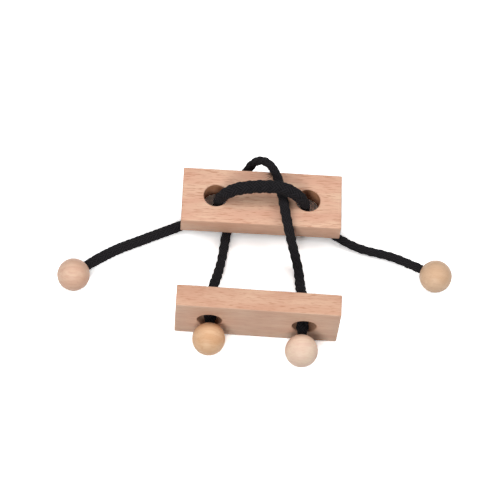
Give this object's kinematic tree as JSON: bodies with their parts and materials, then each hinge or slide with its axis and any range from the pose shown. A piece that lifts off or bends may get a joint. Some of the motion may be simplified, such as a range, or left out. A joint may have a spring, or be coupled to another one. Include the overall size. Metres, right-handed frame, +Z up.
{
  "type": "rope puzzle",
  "caption": "Wooden rope puzzle: a loop of braided cord from one drilled board runs round another board and under its own cord, with wooden balls as stops.",
  "frame": {"origin": "on the table, below the middle of the box round both boards and the four balls, cords left out", "axes": "+X along the upper board, to the right in the picture; +Y on the table, from the lower board to the upper board; +Z up"},
  "size_m": [0.2178, 0.1273, 0.0335],
  "materials": {
    "beech_upper": "sanded beech, pinkish tan, unlacquered",
    "beech_lower": "sanded beech, pinkish tan, unlacquered",
    "ball_pink": "smooth turned beech, light pink tan",
    "ball_tan": "smooth turned beech, light tan",
    "ball_yellow": "smooth turned beech, warmer yellow tan",
    "ball_pale": "smooth turned beech, palest",
    "black_braid": "matt black plaited cord"
  },
  "bodies": {
    "upper_board": {"upper_block": "beech_upper", "upper_cord_bridge": "black_braid", "lower_cord_left_stub": "black_braid", "lower_cord_left": "black_braid", "lower_cord_loop": "black_braid", "lower_cord_right": "black_braid", "lower_cord_right_stub": "black_braid"},
    "upper_left_end": {"upper_cord_left": "black_braid"},
    "upper_left_stop": {"upper_left_ball": "ball_pink"},
    "upper_right_end": {"upper_cord_right": "black_braid"},
    "upper_right_stop": {"upper_right_ball": "ball_tan"},
    "lower_board": {"lower_block": "beech_lower"},
    "lower_left_stop": {"lower_left_ball": "ball_yellow"},
    "lower_right_stop": {"lower_right_ball": "ball_pale"}
  },
  "joints": [
    {"name": "upper_left_swing", "type": "hinge", "parent": "upper_board", "child": "upper_left_end", "pos_m": [-0.02265, 0.0388, 0.01295], "axis": [0, 0, 1], "range_deg": [-90, 25]},
    {"name": "upper_right_swing", "type": "hinge", "parent": "upper_board", "child": "upper_right_end", "pos_m": [0.02615, 0.0388, 0.01295], "axis": [0, 0, 1], "range_deg": [-25, 90]},
    {"name": "upper_left_pull", "type": "slide", "parent": "upper_left_end", "child": "upper_left_stop", "axis": [-0.8538, -0.5206, 0], "range_m": [-0.03, 0.03], "deforming": ["upper_cord_left"]},
    {"name": "upper_right_pull", "type": "slide", "parent": "upper_right_end", "child": "upper_right_stop", "axis": [0.8972, -0.4416, 0], "range_m": [-0.03, 0.03], "deforming": ["upper_cord_right"]},
    {"name": "lower_board_slide", "type": "slide", "parent": "upper_board", "child": "lower_board", "axis": [0.0148, 0.9999, 0], "range_m": [0, 0.012], "deforming": ["lower_cord_left_stub", "lower_cord_right_stub", "lower_cord_left", "lower_cord_right"]},
    {"name": "lower_left_ball_pull", "type": "slide", "parent": "upper_board", "child": "lower_left_stop", "axis": [-0.0148, -0.9999, 0], "range_m": [0, 0.005]},
    {"name": "lower_right_ball_pull", "type": "slide", "parent": "upper_board", "child": "lower_right_stop", "axis": [-0.0148, -0.9999, 0], "range_m": [-0.003, 0.005]}
  ],
  "couplings": [
    {"joint": "upper_right_pull", "follows": "upper_left_pull", "ratio": -1}
  ]
}
